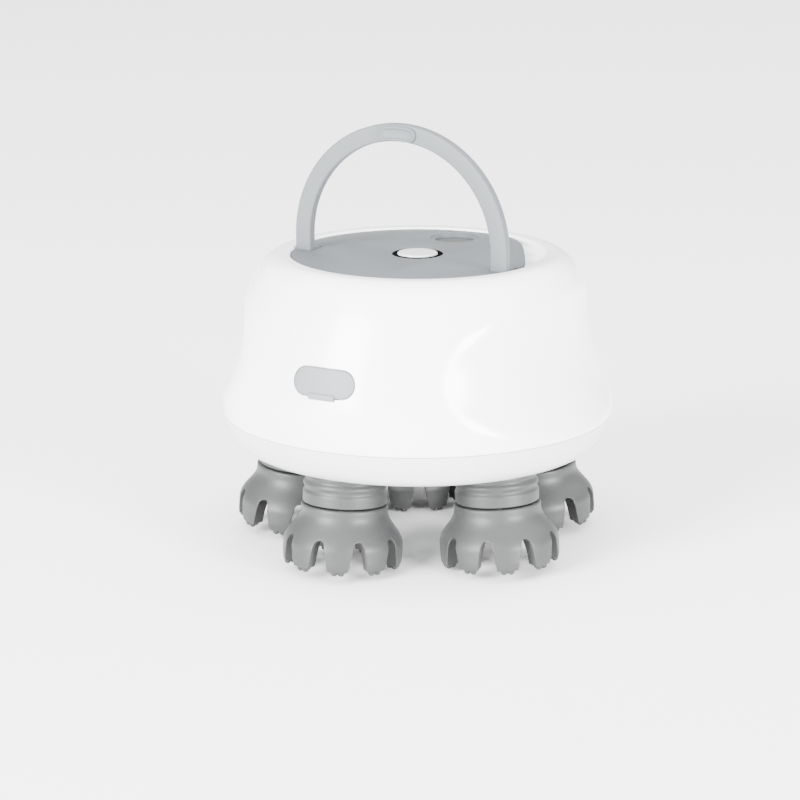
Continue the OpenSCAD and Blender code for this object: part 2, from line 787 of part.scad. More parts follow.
module plate_screws() {
    color("gray") between_heads(post_ring) translate([0, 0, plate_top])
        screw(2.4, 1.6, plate_screw_len - 2.4);
}

module shell_screws() {
    color("gray") between_heads(screw_ring) translate([0, 0, keel_z + screw_well]) rotate([180, 0, 0])
        screw(2.6, 1.8, keel_h + 2.4);
}

// ---- Heads ----------------------------------------------------------------

module shaft_bushes() {
    color("darkgoldenrod") for (k = [0:heads - 1]) intersection() {
        head_place(k) difference() {
            cylinder(r = bush_r, h = bush_top);
            translate([0, 0, -1]) cylinder(r = shaft_r + fit, h = 60);
        }
        translate([0, 0, keel_z + 0.5]) cylinder(r = body_r, h = 40);
    }
}

module head_gear(k) {
    a = head_turn + k * head_step - 90;
    turn = mesh_turn(a, sun_teeth, head_teeth) - a;
    color("ivory") head_place(k) translate([0, 0, gear_h - gear_t / 2]) difference() {
        union() {
            rotate(turn) linear_extrude(gear_t) gear_2d(head_teeth, head_module, 0.34);
            translate([0, 0, gear_t - tiny]) cylinder(r = shaft_r + 2, h = 1.4);
        }
        translate([0, 0, -1]) cylinder(r = shaft_r, h = gear_t + 4);
        for (b = [0:60:300]) rotate(b) translate([8.6, 0, -1]) cylinder(r = 2.2, h = gear_t + 2);
    }
}

hub_r = 8.2;
hub_t = 3.4;
socket_depth = 4.2;

module head_shaft(k) {
    color("gainsboro") head_place(k) {
        translate([0, 0, -1.4]) cylinder(r = shaft_r, h = (plate_top - groove_z) / cos(head_lean) + 0.6);
        translate([0, 0, -socket_depth]) cylinder(r = hub_r, h = hub_t);
    }
}

// Bellows wave of the neck boot, from the joint upward.
neck_top = groove_drop - keel_h + 2;
neck_wave = 0.45;
boot_wall = 2.2;
function neck_out(z) = z < 3.2 ? neck_r
    : neck_r - neck_wave * (1 - cos((z - 3.2) * 360 / 2.7)) / 2 - max(z - 6.6, 0) * 0.28;

module neck_boot(k) {
    steps = 24;
    inner = neck_r - boot_wall;
    color("gray") difference() {
        head_place(k) rotate_extrude() polygon(concat(
            [[inner, groove_gap / 2], [neck_r - 0.3, groove_gap / 2]],
            [for (i = [0:steps]) let (z = groove_gap / 2 + 0.3 + (neck_top - 0.55) * i / steps)
                [neck_out(z), z]],
            [[shaft_r + 1.2, neck_top + 0.3], [shaft_r + 1.2, neck_top - 3.6],
             [inner - 1.5, neck_top - 4.6]]));
        translate([0, 0, keel_z]) cylinder(r = body_r, h = 20);
    }
}

// Claw outline: collar, flare and finger, from the neck down.
function claw_out(d) = claw_neck_r - max(d - claw_len + 2, 0) * 0.12
    + (claw_r - claw_neck_r) * pow(sin(min(max(d - 2.2, 0) / 9.8, 1) * 90), 2);
claw_in_top = 5.8;
claw_in_r = claw_r - 0.25 - finger_t;
function claw_hollow(d) = claw_in_r - 3.4 * pow(1 - min((d - claw_in_top) / 9, 1), 2);

module claw(k) {
    steps = 10;
    color("darkgray") head_place(k) rotate(claw_turns[k]) {
        difference() {
            rotate_extrude() polygon(concat(
                [[0, -groove_gap / 2], [claw_neck_r - 0.4, -groove_gap / 2]],
                [for (i = [0:steps]) let (d0 = groove_gap / 2 + 0.4, d = d0 + (claw_len - d0) * i / steps)
                    [claw_out(d), -d]],
                [[claw_in_r, -claw_len]],
                [for (i = [0:5]) let (d = claw_len - (claw_len - claw_in_top) * i / 5) [claw_hollow(d), -d]],
                [[0, -claw_in_top]]));
            translate([0, 0, -socket_depth - 0.02]) cylinder(r = hub_r + 0.03, h = hub_t + 0.04);
            translate([0, 0, -socket_depth]) cylinder(r = shaft_r + fit, h = 10);
            for (f = [0:fingers - 1]) rotate((f + 0.5) * finger_step) claw_slot();
        }
        for (f = [0:fingers - 1]) rotate(f * finger_step) finger_nubs();
    }
}

// Arched slot between two fingers, cut outward from the hollow.
module claw_slot() {
    gap = 2 * (claw_r - 1) * sin(finger_step / 2) - finger_w;
    arch = gap * 0.26;
    translate([4, 0, 0]) rotate([90, 0, 90]) linear_extrude(claw_r) {
        translate([0, -slot_top - arch]) circle(r = arch, $fn = 40);
        polygon([[-arch * 0.97, -slot_top - arch * 0.8], [arch * 0.97, -slot_top - arch * 0.8],
            [gap / 2, -claw_len - 1], [-gap / 2, -claw_len - 1]]);
    }
}

module finger_nubs() {
    for (n = [[nub_ring_r, -nub_side], [nub_ring_r, nub_side], [nub_inner_r, 0]])
        translate([n[0], n[1], -claw_reach + nub_r]) {
            sphere(r = nub_r, $fn = 32);
            cylinder(r = nub_r, h = nub_h - nub_r + 0.3);
        }
}

upper_shell();
lower_shell();
shell_seal();
top_cover();
button_ring();
power_button();
button_switch();
main_board();
board_screws();
handle();
handle_pins();
port_cover();
charge_socket();
charge_board();
battery();
battery_cradle();
motor();
motor_pinion();
centre_gear();
centre_axle();
gear_plate();
plate_screws();
shell_screws();
shaft_bushes();
head_gear(0);  // head_gear_1
head_gear(1);  // head_gear_2
head_gear(2);  // head_gear_3
head_gear(3);  // head_gear_4
head_gear(4);  // head_gear_5
head_shaft(0);  // head_shaft_1
head_shaft(1);  // head_shaft_2
head_shaft(2);  // head_shaft_3
head_shaft(3);  // head_shaft_4
head_shaft(4);  // head_shaft_5
neck_boot(0);  // neck_boot_1
neck_boot(1);  // neck_boot_2
neck_boot(2);  // neck_boot_3
neck_boot(3);  // neck_boot_4
neck_boot(4);  // neck_boot_5
claw(0);  // claw_1
claw(1);  // claw_2
claw(2);  // claw_3
claw(3);  // claw_4
claw(4);  // claw_5
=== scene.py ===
import json
import math

import bmesh
import bpy
from mathutils import Matrix, Vector


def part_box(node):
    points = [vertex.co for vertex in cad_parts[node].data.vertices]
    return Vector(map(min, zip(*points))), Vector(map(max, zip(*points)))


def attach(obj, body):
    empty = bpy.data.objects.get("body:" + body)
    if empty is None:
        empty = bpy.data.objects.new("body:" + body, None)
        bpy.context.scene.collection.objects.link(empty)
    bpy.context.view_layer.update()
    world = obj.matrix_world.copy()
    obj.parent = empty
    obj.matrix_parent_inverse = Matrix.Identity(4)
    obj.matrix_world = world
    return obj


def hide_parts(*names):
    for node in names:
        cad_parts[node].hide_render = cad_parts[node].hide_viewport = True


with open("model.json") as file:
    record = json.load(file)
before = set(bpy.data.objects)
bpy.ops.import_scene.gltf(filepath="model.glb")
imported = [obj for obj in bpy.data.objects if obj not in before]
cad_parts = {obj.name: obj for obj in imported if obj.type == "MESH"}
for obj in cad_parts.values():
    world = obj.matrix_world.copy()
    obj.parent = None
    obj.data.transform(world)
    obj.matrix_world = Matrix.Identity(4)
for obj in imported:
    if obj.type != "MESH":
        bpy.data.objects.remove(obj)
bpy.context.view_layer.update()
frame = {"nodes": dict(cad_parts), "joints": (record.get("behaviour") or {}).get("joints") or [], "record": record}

# ---- Dimensions, in millimetres above the floor, the same as in the part ------------
MM = 0.001
JOINTS = {j["name"]: j for j in frame["joints"]}


def node_box(node):
    low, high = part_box(node)
    return [c / MM for c in low], [c / MM for c in high]


SHELL_H = 48.4
RIM_Z = node_box("upper_shell")[1][2]
SEAM_Z = RIM_Z - SHELL_H
KEEL_Z = node_box("lower_shell")[0][2]
COVER_SINK = 0.5
COVER_Z = RIM_Z - COVER_SINK
BELLY_RISE = 1.8
BELLY_Z = SEAM_Z + BELLY_RISE
BODY_R = 60.0
SIDE_ARC = 84.4
RIM_R = 41.6
RIM_LIP = 0.7
WALL = 2.4
BASE_WALL = 2.0
KEEL_ROUND = 9
SEAM_EDGE = 0.1
SEAM_GAP = 0.2
WELL_R = 3.0
WELL_DEPTH = 3.6
WELL_RING = 44
GRIP_SHIFT = 19.5
GRIP_THROAT = 50.0
GRIP_LIFT = 31.0
GRIP_Z = SEAM_Z + GRIP_LIFT
GRIP_ARC = 48.0
GRIP_BLEND = 1.3
COVER_R = 38.5
COVER_T = 4.5
COVER_GAP = 0.25
COLLAR_R = 38.8
SEAT_W = 3.2
SEAT_T = 2
TRIM_DIST = 32.7
TRIM_TURN = math.radians(28)
TRIM_CORNER = 8.0
OUTLINE_STEPS = 240
LEDGE_SPAN = 32
LEDGE_DROP = 1.5
LEDGE_BITE = 0.6
SCOOP_R = 6.0
SCOOP_LEN = 8
SCOOP_OUT = 1.3
SCOOP_LIFT = 2.6
DISH_X = -2.2
DISH_Y = 27.4
DISH_R = 7.6
DISH_STEP = 1.3
DISH_SINK = 0.45
DISH_DEPTH = 1.3
PAD_T = 0.15
BUTTON_R = 6.1
BUTTON_UP = 0.5
BUTTON_LIP = 0.45
RING_R = 7.8
RING_T = 2.2
RING_EDGE = 0.25
ARCH_R = 36.5
ARCH_IN = 31.2
BAND_T = 3.2
BAND_Y = 10.2
HINGE = [c / MM for c in JOINTS["handle_fold"]["pos_m"]]
ARCH_LIFT = 6.1
ARCH_Z = HINGE[2] + ARCH_LIFT
EYE_R = 1.9
PIN_R = 1.05
HANDLE_GAP = 0.3
TAB_LEN = 12.4
PORT_LIFT = 20.2
PORT_Z = SEAM_Z + PORT_LIFT
PORT_TURN = math.radians(1.3)
PORT_W = 20.0
PORT_H = 8.4
PORT_GAP = 0.3
HEADS = 5
HEAD_LEAN = math.radians(4.8)
HEAD_TURN = -4.7
FINGERS = 9
CLAW_TURNS = [-9, 8.5, -16, 4, 11.4]
CLAW_R = 18.0
CLAW_LEN = 17.7
NECK_R = 12.65
BOOT_WALL = 2.2
BOOT_TOP = 12.4
WAVE_DEPTH = 0.45
WAVE_LEN = 2.7
WAVE_START = 3.2
NUB_R = 1.025
NUB_H = 1.4
FINGER_W = 5.2
FINGER_T = 4.6
SLOT_TOP = 8.8
SLOT_START = 9.8
CLAW_TOP = 5.8
VOXEL = 0.2


# ---- Materials -------------------------------------------------------------------
SLOTS = {}
ROUGH_DRIFT = 0.04


def material(name, color, rough, bump=0.0, grain=900.0, spread=0.04, metal=0.0, coat=0.0, shine=0.5):
    """A surface for a slot of the record, with a fine drift of colour and roughness, and a fine bump."""
    m = bpy.data.materials.new(name)
    m.use_nodes = True
    nt = m.node_tree
    bsdf = nt.nodes["Principled BSDF"]
    bsdf.inputs["Metallic"].default_value = metal
    bsdf.inputs["Coat Weight"].default_value = coat
    bsdf.inputs["Coat Roughness"].default_value = 0.08
    bsdf.inputs["Specular IOR Level"].default_value = shine
    where = nt.nodes.new("ShaderNodeTexCoord")
    broad = nt.nodes.new("ShaderNodeTexNoise")
    broad.inputs["Scale"].default_value = 35.0
    broad.inputs["Detail"].default_value = 3.0
    fine = nt.nodes.new("ShaderNodeTexNoise")
    fine.inputs["Scale"].default_value = grain
    fine.inputs["Detail"].default_value = 2.0
    for n in (broad, fine):
        nt.links.new(where.outputs["Object"], n.inputs["Vector"])
    ramp = nt.nodes.new("ShaderNodeValToRGB")
    low = [c * (1 - spread) for c in color]
    high = [min(c * (1 + spread), 1.0) for c in color]
    ramp.color_ramp.elements[0].color = (*low, 1)
    ramp.color_ramp.elements[1].color = (*high, 1)
    ramp.color_ramp.elements[0].position = 0.3
    ramp.color_ramp.elements[1].position = 0.7
    nt.links.new(broad.outputs["Fac"], ramp.inputs["Fac"])
    nt.links.new(ramp.outputs["Color"], bsdf.inputs["Base Color"])
    gloss = nt.nodes.new("ShaderNodeMapRange")
    gloss.inputs["To Min"].default_value = max(rough - ROUGH_DRIFT, 0.02)
    gloss.inputs["To Max"].default_value = rough + ROUGH_DRIFT
    nt.links.new(broad.outputs["Fac"], gloss.inputs["Value"])
    nt.links.new(gloss.outputs["Result"], bsdf.inputs["Roughness"])
    if bump:
        b = nt.nodes.new("ShaderNodeBump")
        b.inputs["Strength"].default_value = bump
        b.inputs["Distance"].default_value = 0.0001
        nt.links.new(fine.outputs["Fac"], b.inputs["Height"])
        nt.links.new(b.outputs["Normal"], bsdf.inputs["Normal"])
    SLOTS.setdefault(name, m)
    m["slot"] = name
    return m


def grey(level):
    """sRGB level 0 to 255 as a linear value."""
    c = level / 255
    return c / 12.92 if c <= 0.04045 else ((c + 0.055) / 1.055) ** 2.4


def srgb(r, g, b):
    return (grey(r), grey(g), grey(b))


# The greys are darker than they look in the picture, because the light that turns the floor pale is strong.
SHELL = material("white_shell", srgb(243, 244, 246), 0.24, spread=0.004, coat=0.25)
# The lower shell is the same white plastic painted darker: a painted shade for the shade that falls under the
# body.
SHELL_PAINTED_SHADE = material("white_shell", srgb(208, 209, 211), 0.24, spread=0.004, coat=0.25)
COVER = material("grey_cover", srgb(84, 88, 91), 0.55, bump=0.25, grain=2600, spread=0.012, shine=0.25)
HANDLE = material("grey_handle", srgb(92, 96, 99), 0.5, bump=0.15, grain=2600, spread=0.01, shine=0.25)
PORT = material("port_grey", srgb(112, 116, 119), 0.5, bump=0.15, grain=2600, spread=0.01, shine=0.3)
BUTTON = material("white_button", srgb(214, 215, 217), 0.25, spread=0.004, coat=0.3)
RING = material("black_ring", srgb(14, 14, 15), 0.5, spread=0.05, shine=0.0)
RUBBER = material("grey_rubber", srgb(55, 56, 56), 0.45, bump=0.3, grain=1800, spread=0.02, shine=0.4)
material("seal_rubber", srgb(60, 60, 62), 0.6, bump=0.3)
material("black_parts", srgb(45, 46, 48), 0.5, bump=0.2)
material("board_green", srgb(28, 92, 60), 0.35, bump=0.2, spread=0.1)
material("steel", srgb(190, 192, 195), 0.28, bump=0.1, metal=1.0)
material("battery_wrap", srgb(70, 120, 190), 0.35, spread=0.03)
material("motor_can", srgb(178, 180, 184), 0.35, bump=0.1, metal=1.0)
material("brass", srgb(200, 168, 90), 0.3, bump=0.1, metal=1.0)
material("gear_plastic", srgb(232, 230, 222), 0.45, bump=0.15, spread=0.02)
material("plate_plastic", srgb(205, 207, 208), 0.5, bump=0.15, spread=0.02)

# Inner pieces keep their solids and take these finishes.
for part in frame["record"]["subparts"]:
    cad = frame["nodes"][part["node"]]
    cad.data.materials.clear()
    cad.data.materials.append(SLOTS[part["material_slot"]])


# ---- Mesh helpers -----------------------------------------------------------------
def mesh_object(name, verts, faces):
    """Object from millimetre vertices, with its faces turned outward."""
    me = bpy.data.meshes.new(name)
    me.from_pydata([Vector(v) * MM for v in verts], [], faces)
    bm = bmesh.new()
    bm.from_mesh(me)
    bmesh.ops.remove_doubles(bm, verts=bm.verts, dist=1e-7)
    bmesh.ops.recalc_face_normals(bm, faces=bm.faces)
    bm.to_mesh(me)
    bm.free()
    ob = bpy.data.objects.new(name, me)
    bpy.context.scene.collection.objects.link(ob)
    return ob


def finish_piece(ob, mat, body, *nodes, smooth=40):
    """Gives a piece its finish, its sharp edges and its body, and hides the nodes that it stands for."""
    ob.data.materials.clear()
    ob.data.materials.append(mat)
    for poly in ob.data.polygons:
        poly.use_smooth = True
    bm = bmesh.new()
    bm.from_mesh(ob.data)
    limit = math.radians(smooth)
    for e in bm.edges:
        if len(e.link_faces) == 2 and e.calc_face_angle(0) > limit:
            e.smooth = False
    bm.to_mesh(ob.data)
    bm.free()
    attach(ob, body)
    if nodes:
        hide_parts(*nodes)
    return ob


def apply_modifiers(ob):
    """Bakes the modifiers into the mesh."""
    bpy.context.view_layer.update()
    shape = ob.evaluated_get(bpy.context.evaluated_depsgraph_get())
    me = bpy.data.meshes.new_from_object(shape)
    ob.modifiers.clear()
    old = ob.data
    ob.data = me
    bpy.data.meshes.remove(old)


def cut(ob, *cutters, mode="DIFFERENCE"):
    """Cuts the other pieces out of the first, or joins them to it with UNION, and removes them."""
    for c in cutters:
        m = ob.modifiers.new("cut", "BOOLEAN")
        m.operation = mode
        m.solver = "EXACT"
        m.object = c
    apply_modifiers(ob)
    for c in cutters:
        bpy.data.objects.remove(c)


def bevel(ob, width, segments=3, angle=30):
    """Rounds the sharp edges."""
    m = ob.modifiers.new("bevel", "BEVEL")
    m.width = width * MM
    m.segments = segments
    m.limit_method = "ANGLE"
    m.angle_limit = math.radians(angle)
    m.use_clamp_overlap = True
    apply_modifiers(ob)


def place(ob, matrix):
    """Moves the mesh itself, in millimetres."""
    m = matrix.copy()
    m.translation *= MM
    ob.data.transform(m)


def join(obs):
    """Joins pieces into the first one."""
    bm = bmesh.new()
    for o in obs:
        bm.from_mesh(o.data)
    bm.to_mesh(obs[0].data)
    bm.free()
    for o in obs[1:]:
        bpy.data.objects.remove(o)
    return obs[0]


def revolve(name, profile, n=192, closed=True):
    """Turns (r, z) points round Z. A closed profile is a loop, an open one starts and ends on the axis."""
    verts, rows = [], []
    for r, z in profile:
        if r < 1e-6:
            rows.append([len(verts)] * n)
            verts.append((0, 0, z))
        else:
            rows.append(list(range(len(verts), len(verts) + n)))
            verts += [(x, y, z) for x, y in disc(r, n)]
    faces = []
    last = len(rows) if closed else len(rows) - 1
    for j in range(last):
        a, b = rows[j], rows[(j + 1) % len(rows)]
        for i in range(n):
            k = (i + 1) % n
            face = []
            for v in (a[i], a[k], b[k], b[i]):
                if v not in face:
                    face.append(v)
            if len(face) > 2:
                faces.append(face)
    return mesh_object(name, verts, faces)


def arc(cx, cz, r, a0, a1, n):
    """Points on an arc from a0 to a1 degrees."""
    return [(cx + r * math.cos(math.radians(a0 + (a1 - a0) * i / n)),
             cz + r * math.sin(math.radians(a0 + (a1 - a0) * i / n))) for i in range(n + 1)]


def prism(name, outline, low, high):
    """Upright prism of an outline in x and y."""
    n = len(outline)
    verts = [(x, y, low) for x, y in outline] + [(x, y, high) for x, y in outline]
    faces = [list(range(n))[::-1], list(range(n, 2 * n))]
    faces += [[i, (i + 1) % n, n + (i + 1) % n, n + i] for i in range(n)]
    return mesh_object(name, verts, faces)


def disc(r, n=96, cx=0.0, cy=0.0):
    """Points on a circle in x and y."""
    return [(cx + r * math.cos(2 * math.pi * i / n), cy + r * math.sin(2 * math.pi * i / n))
            for i in range(n)]


def rectangle(x0, x1, y0, y1):
    return [(x0, y0), (x1, y0), (x1, y1), (x0, y1)]


def turn_z(a):
    return Matrix.Rotation(a, 4, "Z")


LYING = Matrix.Rotation(math.radians(90), 4, "Y")      # turns +Z to +X
OUTWARD = Matrix(((0, 0, 1, 0), (1, 0, 0, 0), (0, 1, 0, 0), (0, 0, 0, 1)))      # X to Y, Y to Z, Z to X


# ---- Body ---------------------------------------------------------------------------
SIDE_C = BODY_R - SIDE_ARC
RISE = RIM_Z - BELLY_Z
REACH = RIM_R - SIDE_C
SHOULDER_R = (SIDE_ARC ** 2 - REACH ** 2 - RISE ** 2) / (2 * (SIDE_ARC - RISE))
SHOULDER_A = math.degrees(math.atan2(RISE - SHOULDER_R, REACH))


def soft_min(a, b, k):
    """Smallest of two radii, with a soft blend about k wide."""
    h = max(k - abs(a - b), 0.0) / k
    return min(a, b) - h * h * k * 0.25


def grip_radius(azimuth, z, inset):
    """Distance from the body axis to the nearer grip surface, in a direction from +X."""
    drop = GRIP_ARC + inset
    d = z - GRIP_Z
    if abs(d) >= drop:
        return 1e3
    ring = GRIP_THROAT + GRIP_SHIFT - inset + drop - math.sqrt(drop * drop - d * d)
    c = abs(math.cos(azimuth)) * GRIP_SHIFT
    return -c + math.sqrt(max(c * c - GRIP_SHIFT ** 2 + ring * ring, 0.0))


def shell_profile():
    """Closed half outline of the upper shell as (r, z, grip inset)."""
    low = SEAM_Z + 0.02
    edge = SEAM_EDGE
    r0 = SIDE_C + math.sqrt(SIDE_ARC ** 2 - (low + edge - BELLY_Z) ** 2)
    out = [(r0 - edge, low, 0), (r0 - edge * 0.3, low + edge * 0.3, 0)]
    a0 = math.degrees(math.asin((low + edge - BELLY_Z) / SIDE_ARC))
    out += [(r, z, 0) for r, z in arc(SIDE_C, BELLY_Z, SIDE_ARC, a0, SHOULDER_A, 64)]
    out += [(r, z, 0) for r, z in arc(RIM_R, RIM_Z - SHOULDER_R, SHOULDER_R, SHOULDER_A, 90, 24)[1:]]
    out += [(r, z, 0) for r, z in arc(COLLAR_R + RIM_LIP, RIM_Z - RIM_LIP, RIM_LIP, 90, 180, 8)]
    seat = COVER_Z - COVER_T
    out += [(COLLAR_R, seat, 0), (COLLAR_R - SEAT_W, seat, 0), (COLLAR_R - SEAT_W, seat - SEAT_T, 0)]
    inner = arc(SIDE_C, BELLY_Z, SIDE_ARC - WALL, SHOULDER_A - 4, math.degrees(
        math.asin((low - BELLY_Z) / (SIDE_ARC - WALL))), 40)
    out += [(COLLAR_R + WALL, seat - SEAT_T, 0)]
    out += [(r, z, WALL) for r, z in inner]
    return out


def build_upper_shell():
    """Barrel-shaped shell with a hollow grip turned into each side."""
    n = 480
    profile = shell_profile()
    verts, faces = [], []
    for r, z, inset in profile:
        for i in range(n):
            a = 2 * math.pi * i / n
            rr = r
            if r > 44:
                rr = soft_min(r, grip_radius(a, z, inset), GRIP_BLEND)
            verts.append((rr * math.cos(a), rr * math.sin(a), z))
    rows = len(profile)
    for j in range(rows):
        for i in range(n):
            k, l = (i + 1) % n, (j + 1) % rows
            faces.append([j * n + i, j * n + k, l * n + k, l * n + i])
    return mesh_object("shell_top", verts, faces)


def port_matrix():
    """Port frame, with x across, y inward and z up the surface, and the bend of the surface across."""
    r = SIDE_C + math.sqrt(SIDE_ARC ** 2 - (PORT_Z - BELLY_Z) ** 2)
    lean = math.asin((PORT_Z - BELLY_Z) / SIDE_ARC)
    return (Matrix.Rotation(PORT_TURN, 4, "Z") @ Matrix.Translation((0, -r, PORT_Z))
            @ Matrix.Rotation(-lean, 4, "X"), r / math.cos(lean))


PORT_M, PORT_BEND = port_matrix()


def slot_outline(w, h, n=16):
    """Slot with round ends, as points in x and z."""
    half = (w - h) / 2
    right = [(half + h / 2 * math.cos(t), h / 2 * math.sin(t)) for t in
             [math.pi * (i / n - 0.5) for i in range(n + 1)]]
    left = [(-x, -z) for x, z in right]
    flat = 8
    top = [(half - 2 * half * i / flat, h / 2) for i in range(1, flat)]
    bottom = [(-half + 2 * half * i / flat, -h / 2) for i in range(1, flat)]
    return right + top + left + bottom


def port_plate(name, w, h, layers):
    """Plate that follows the front of the body. layers: (inset of the outline, depth), out to in."""
    rings = []
    verts, faces = [], []
    for k in (0.02, 0.25, 0.5, 0.75):
        rings.append((layers[0][0], layers[0][1], k))
    rings += [(inset, depth, 1.0) for inset, depth in layers]
    for k in (0.75, 0.5, 0.25, 0.02):
        rings.append((layers[-1][0], layers[-1][1], k))
    n = None
    for inset, depth, k in rings:
        outline = slot_outline(w - 2 * inset, h - 2 * inset)
        n = len(outline)
        for x, z in outline:
            x, z = x * k, z * k
            verts.append((x, depth + x * x / 2 / PORT_BEND + z * z / 2 / SIDE_ARC, z))
    for j in range(len(rings) - 1):
        for i in range(n):
            m = (i + 1) % n
            faces.append([j * n + i, j * n + m, (j + 1) * n + m, (j + 1) * n + i])
    faces.append(list(range(n)))
    faces.append(list(range((len(rings) - 1) * n, len(rings) * n))[::-1])
    ob = mesh_object(name, verts, faces)
    place(ob, PORT_M)
    return ob


def port_block(name, x, y0, y1, z0, z1):
    """Block in the port frame, 2 x wide."""
    ob = prism(name, rectangle(-x, x, y0, y1), z0, z1)
    place(ob, PORT_M)
    return ob


def cover_outline(r, trim, corner):
    """Round cover with one end trimmed along a chord. A soft minimum rounds the corners."""
    pts = []
    for i in range(OUTLINE_STEPS):
        t = 2 * math.pi * i / OUTLINE_STEPS
        c = math.cos(t)
        limit = trim / c if c > 0.2 else 1e3
        rr = soft_min(r, limit, corner)
        pts.append((rr * math.cos(t), rr * math.sin(t)))
    return pts


shell_top = build_upper_shell()
pocket = port_plate("pocket", PORT_W + 2 * PORT_GAP, PORT_H + 2 * PORT_GAP, [(0, -3), (0, 1.5)])
hole = port_block("hole", 6.1, 1, 7, -3.3, 3.3)
pull_room = port_block("pull_room", 4.5, -3, 1.1, -PORT_H / 2 - 1.1, -PORT_H / 2 + 0.5)
# Floor beside the trimmed end of the cover, which follows its outline, with the finger scoop.
ledge_in = cover_outline(COVER_R + COVER_GAP, TRIM_DIST + COVER_GAP, TRIM_CORNER)
ledge_in = ledge_in[-LEDGE_SPAN:] + ledge_in[:LEDGE_SPAN + 1]
ledge_out = [((COLLAR_R + LEDGE_BITE) * math.cos(t), (COLLAR_R + LEDGE_BITE) * math.sin(t)) for t in
             [math.atan2(y, x) for x, y in ledge_in]]
ledge = prism("ledge", ledge_in + ledge_out[::-1], COVER_Z - 6, COVER_Z - LEDGE_DROP)
place(ledge, turn_z(TRIM_TURN))
cut(shell_top, ledge, mode="UNION")
scoop = revolve("scoop", [(0, -SCOOP_LEN), (SCOOP_R, -SCOOP_LEN), (SCOOP_R, 0)]
                + arc(0, 0, SCOOP_R, 0, 90, 20)[1:-1] + [(0, SCOOP_R)], 64, closed=False)
place(scoop, turn_z(TRIM_TURN) @ Matrix.Translation((TRIM_DIST + SCOOP_OUT, 0, RIM_Z + SCOOP_LIFT)) @ LYING)
cut(shell_top, pocket, hole, pull_room, scoop)
finish_piece(shell_top, SHELL, "housing", "upper_shell", smooth=35)


def keel_outline(inset):
    """Half outline of the lower shell, from the seam down to the keel."""
    depth = BELLY_Z - KEEL_Z
    start = math.degrees(math.asin((BELLY_Z - SEAM_Z + SEAM_GAP) / depth))
    return [(BODY_R - KEEL_ROUND + (KEEL_ROUND - inset) * math.cos(math.radians(a)),
             BELLY_Z - (depth - inset) * math.sin(math.radians(a)))
            for a in [start + (90 - start) * i / 40 for i in range(41)]]


def build_lower_shell():
    outer = keel_outline(0)
    inner = keel_outline(BASE_WALL)
    edge = SEAM_EDGE
    r0, z0 = outer[0]
    top = [(r0 - 3, z0), (r0 - edge, z0), (r0 - edge * 0.3, z0 - edge * 0.3)]
    profile = [(0, KEEL_Z + BASE_WALL)] + inner[::-1] + top + outer[1:] + [(0, KEEL_Z)]
    return revolve("shell_base", profile, 288, closed=False)


shell_base = build_lower_shell()
base_cuts = []
for k in range(HEADS):
    a = math.radians(HEAD_TURN + (k + 0.5) * 72 - 90)
    well = prism("well", disc(WELL_R, 48), KEEL_Z - 2, KEEL_Z + WELL_DEPTH)
    place(well, Matrix.Translation((WELL_RING * math.cos(a), WELL_RING * math.sin(a), 0)))
    base_cuts.append(well)
cut(shell_base, *base_cuts)
# The lower shell wears the darker copy of the white plastic, which is painted shade.
finish_piece(shell_base, SHELL_PAINTED_SHADE, "housing", "lower_shell", smooth=35)


# ---- Top cover, button and handle ---------------------------------------------------
cover = prism("top_plate", cover_outline(COVER_R, TRIM_DIST, TRIM_CORNER), COVER_Z - COVER_T, COVER_Z)
place(cover, turn_z(TRIM_TURN))
hollow = prism("hollow", disc(27, 96), COVER_Z - 6, COVER_Z - 2.2)
well = prism("well", disc(DISH_R, 96, DISH_X, DISH_Y), COVER_Z - COVER_T, COVER_Z - DISH_DEPTH - 0.1)
cut(cover, hollow)
cut(cover, well, mode="UNION")
dish = prism("dish", disc(DISH_R, 96, DISH_X, DISH_Y), COVER_Z - DISH_SINK, COVER_Z + 3)
deep = prism("deep", disc(DISH_R - DISH_STEP, 96, DISH_X, DISH_Y), COVER_Z - DISH_DEPTH, COVER_Z + 3)
hub = prism("hub", disc(RING_R, 96), COVER_Z - 9, COVER_Z + 3)
slots = []
for s in (-1, 1):
    x0, x1 = sorted((s * (ARCH_IN - HANDLE_GAP), s * 46))
    room = rectangle(x0, x1, -BAND_Y - BAND_T / 2 - HANDLE_GAP, HINGE[1] + EYE_R + HANDLE_GAP)
    slots.append(prism("slot", room, HINGE[2] - 1.0 - HANDLE_GAP, COVER_Z + 3))
    eye = prism("eye", disc(EYE_R + HANDLE_GAP, 48), x0, x1)
    place(eye, Matrix.Translation((0, HINGE[1], HINGE[2])) @ LYING)
    slots.append(eye)
cut(cover, dish, deep, hub, *slots)
bevel(cover, 0.22, 3, 40)
finish_piece(cover, COVER, "housing", "top_cover", smooth=50)

# Darker floor of the finger dish.
pad_r = DISH_R - DISH_STEP - 0.05
pad_low = COVER_Z - DISH_DEPTH - 0.1
pad = prism("dish_pad", disc(pad_r, 96, DISH_X, DISH_Y), pad_low, pad_low + PAD_T)
finish_piece(pad, RUBBER, "housing", smooth=40)

ring = revolve("button_bezel", [(BUTTON_R + 0.25, COVER_Z - RING_T), (RING_R - 0.02, COVER_Z - RING_T)]
               + arc(RING_R - 0.27, COVER_Z - 0.15, RING_EDGE, 0, 90, 5)
               + arc(BUTTON_R + 0.5, COVER_Z - 0.15, RING_EDGE, 90, 180, 5))
finish_piece(ring, RING, "housing", "button_ring", smooth=50)

top = COVER_Z + BUTTON_UP
flange = COVER_Z - RING_T - 0.3
low = node_box("power_button")[0][2]
button = revolve("button_cap", [(0, low), (1.6, low), (1.6, flange - 0.9), (7.2, flange - 0.9), (7.2, flange),
                                (BUTTON_R, flange)]
                 + arc(BUTTON_R - BUTTON_LIP, top - BUTTON_LIP, BUTTON_LIP, 0, 80, 6)
                 + [(BUTTON_R - 1.2, top - 0.03), (BUTTON_R - 3, top - 0.005), (0, top)], 128, closed=False)
finish_piece(button, BUTTON, "power_button", "power_button", smooth=40)


